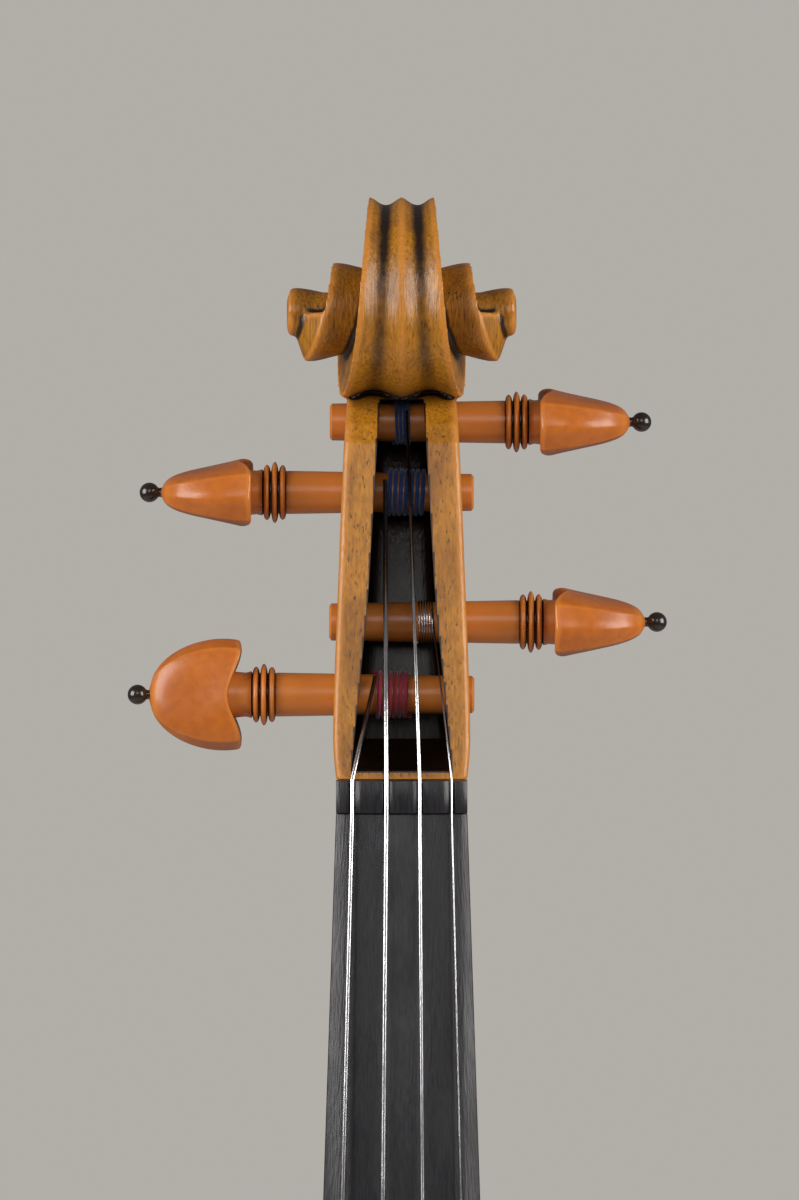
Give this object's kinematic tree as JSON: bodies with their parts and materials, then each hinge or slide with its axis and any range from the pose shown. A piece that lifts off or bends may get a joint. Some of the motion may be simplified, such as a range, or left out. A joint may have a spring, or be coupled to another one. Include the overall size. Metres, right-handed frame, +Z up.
{
  "type": "violin",
  "caption": "Full-size violin with turning pegs, scroll, strings over a bridge, hollow arched body and an e-string fine tuner.",
  "frame": {"origin": "on the end button's axis, at the middle of its round head", "axes": "+Z up along the instrument to the scroll, +X towards the treble side, front faces -Y"},
  "size_m": [0.207, 0.1048, 0.6095],
  "materials": {
    "belly_varnish": "satin varnish",
    "maple_varnish": "satin antiqued varnish",
    "neck_maple": "oiled",
    "raw_spruce": "unfinished",
    "purfling": "satin",
    "ebony": "satin",
    "ebony_polished": "polished",
    "boxwood": "satin polish",
    "bridge_maple": "unfinished",
    "tail_gut": "gloss",
    "tuner_metal": "polished",
    "silk_red": "matte",
    "silk_blue": "matte",
    "string_metal": "bright"
  },
  "bodies": {
    "violin": {"back_plate": "maple_varnish", "top_plate": "belly_varnish", "rib_lower_bass": "maple_varnish", "rib_lower_treble": "maple_varnish", "rib_waist_bass": "maple_varnish", "rib_waist_treble": "maple_varnish", "rib_upper_bass": "maple_varnish", "rib_upper_treble": "maple_varnish", "linings_front": "raw_spruce", "linings_back": "raw_spruce", "block_lower_bass": "raw_spruce", "block_lower_treble": "raw_spruce", "block_upper_bass": "raw_spruce", "block_upper_treble": "raw_spruce", "neck_block": "raw_spruce", "end_block": "raw_spruce", "bass_bar": "raw_spruce", "sound_post": "raw_spruce", "purfling_front": "purfling", "purfling_back": "purfling", "neck": "neck_maple", "head": "maple_varnish", "fingerboard": "ebony", "nut": "ebony", "saddle": "ebony", "end_button": "boxwood", "button_pip": "ebony_polished", "tail_gut": "tail_gut", "tailpiece": "boxwood", "tailpiece_fret": "ebony", "bridge": "bridge_maple", "tuner_bracket": "tuner_metal", "tuner_pivot": "tuner_metal", "string_g": "string_metal", "string_d": "string_metal", "string_a": "string_metal", "string_e": "string_metal"},
    "peg_g": {"peg_g": "boxwood", "pip_g": "ebony_polished", "winding_g": "silk_red"},
    "peg_d": {"peg_d": "boxwood", "pip_d": "ebony_polished", "winding_d": "silk_blue"},
    "peg_a": {"peg_a": "boxwood", "pip_a": "ebony_polished", "winding_a": "silk_blue"},
    "peg_e": {"peg_e": "boxwood", "pip_e": "ebony_polished", "winding_e": "string_metal"},
    "lever": {"tuner_lever": "tuner_metal"},
    "screw": {"tuner_screw": "tuner_metal"}
  },
  "joints": [
    {"name": "turn_peg_g", "type": "hinge", "parent": "violin", "child": "peg_g", "pos_m": [0, 0.00338, 0.51177], "axis": [1, 0, 0], "continuous": true},
    {"name": "turn_peg_d", "type": "hinge", "parent": "violin", "child": "peg_d", "pos_m": [0, 0.0163, 0.54841], "axis": [1, 0, 0], "continuous": true},
    {"name": "turn_peg_a", "type": "hinge", "parent": "violin", "child": "peg_a", "pos_m": [0, 0.02018, 0.56138], "axis": [1, 0, 0], "continuous": true},
    {"name": "turn_peg_e", "type": "hinge", "parent": "violin", "child": "peg_e", "pos_m": [0, 0.00778, 0.52488], "axis": [1, 0, 0], "continuous": true},
    {"name": "turn_tuner_screw", "type": "hinge", "parent": "violin", "child": "screw", "pos_m": [0.01326, -0.04458, 0.10883], "axis": [0.4144, -0.8866, -0.2053], "range_deg": [0, 1080]},
    {"name": "tip_tuner_lever", "type": "hinge", "parent": "violin", "child": "lever", "pos_m": [0.01218, -0.04511, 0.12164], "axis": [0.9101, 0.4037, 0.0935], "range_deg": [0, 5.4]}
  ],
  "couplings": [
    {"joint": "tip_tuner_lever", "follows": "turn_tuner_screw", "ratio": 0.005}
  ]
}
